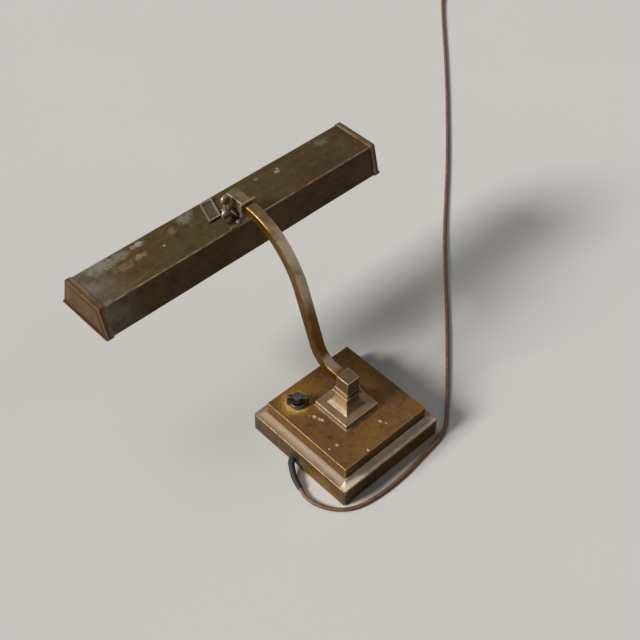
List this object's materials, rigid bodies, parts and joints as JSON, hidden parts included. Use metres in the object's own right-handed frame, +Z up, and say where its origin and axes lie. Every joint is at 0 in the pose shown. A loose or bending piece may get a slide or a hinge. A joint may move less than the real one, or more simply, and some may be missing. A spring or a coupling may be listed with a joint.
{
  "type": "desk lamp",
  "caption": "Desk lamp with a square stepped bronze base, a bent square-tube arm and a long trough shade that tilts on a wing-nut hinge, with a rotary switch on the base.",
  "frame": {"origin": "centre of the base's underside, on the desk", "axes": "+Z up, -Y from the column towards the shade, X along the shade"},
  "size_m": [0.9626, 0.7325, 0.2378],
  "materials": {
    "bronze": "aged bronze patina, satin",
    "column_brass": "aged brass, satin",
    "arm_brass": "aged brass, satin",
    "hinge_brass": "dull worn brass",
    "shade_brass": "olive-brown patina, satin",
    "iron": "rough casting",
    "steel": "zinc plated",
    "felt": "dark green felt",
    "bakelite": "glossy black",
    "bulb_metal": "bright",
    "bulb_glass": "frosted white",
    "wire": "dark insulation",
    "grommet": "matt black",
    "sleeve": "blue-grey, matt",
    "cord": "brown, satin",
    "tie": "dark band",
    "blade_brass": "bright"
  },
  "bodies": {
    "stand": {"base_casting": "bronze", "column_foot": "column_brass", "column_fillets": "column_brass", "arm_block": "column_brass", "arm_tube": "arm_brass", "arm_knuckle": "hinge_brass", "hinge_washer": "hinge_brass", "hinge_bolt": "hinge_brass", "base_weight": "iron", "bottom_plate": "steel", "bottom_screws": "steel", "column_pipe": "steel", "pipe_nut": "steel", "pipe_washer": "steel", "switch_nut": "steel", "bottom_felt": "felt", "switch_body": "bakelite", "arm_wire": "wire", "cord_grommet": "grommet", "cord_sleeve": "sleeve", "cord_lead": "cord", "cord_coil": "cord", "plug_body": "cord", "cord_tie": "tie", "plug_blades": "blade_brass"},
    "shade": {"shade_trough": "shade_brass", "shade_cap_left": "shade_brass", "shade_cap_right": "shade_brass", "shade_saddle": "hinge_brass", "saddle_rivets": "hinge_brass", "socket_bracket": "steel", "lamp_sockets": "bakelite", "bulb_caps": "bulb_metal", "bulb_glass": "bulb_glass", "shade_wire": "wire"},
    "switch_knob": {"switch_knob": "bakelite", "switch_shaft": "steel"},
    "wing_nut": {"wing_nut": "hinge_brass"}
  },
  "joints": [
    {"name": "shade_tilt", "type": "hinge", "parent": "stand", "child": "shade", "pos_m": [0, -0.16713, 0.22257], "axis": [1, 0, 0], "range_deg": [-50, 35]},
    {"name": "wing_nut_turn", "type": "hinge", "parent": "stand", "child": "wing_nut", "pos_m": [0, -0.16713, 0.22257], "axis": [1, 0, 0], "continuous": true},
    {"name": "switch_turn", "type": "hinge", "parent": "stand", "child": "switch_knob", "pos_m": [0.0365, -0.0365, 0.05], "axis": [0, 0, 1], "continuous": true}
  ]
}
